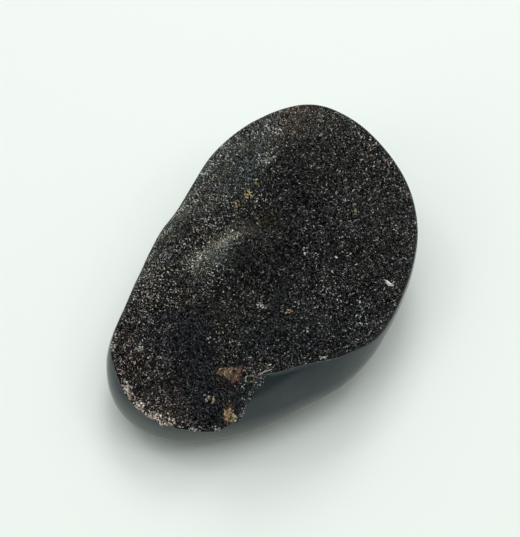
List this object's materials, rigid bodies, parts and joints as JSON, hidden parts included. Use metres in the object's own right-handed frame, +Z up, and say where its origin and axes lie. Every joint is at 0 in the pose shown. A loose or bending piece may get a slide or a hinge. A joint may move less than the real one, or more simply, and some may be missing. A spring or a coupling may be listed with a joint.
{
  "type": "septarian nodule",
  "caption": "Palm-sized freeform stone with polished dark rock sides and a rolling top face covered by a crust of tiny black sparkling crystals.",
  "frame": {"origin": "centre of the bounding box, on the surface the stone rests on", "axes": "+Y along the stone towards its high broad end, +X towards its tall polished side, +Z up"},
  "size_m": [0.048, 0.0762, 0.0247],
  "materials": {
    "polished_matrix": "polished dark slate-grey rock",
    "black_crystal": "sparkling black crystal druse with a few rusty and pale grains"
  },
  "bodies": {
    "root": {"nodule": "polished_matrix", "crystal_crust": "black_crystal"}
  },
  "joints": []
}
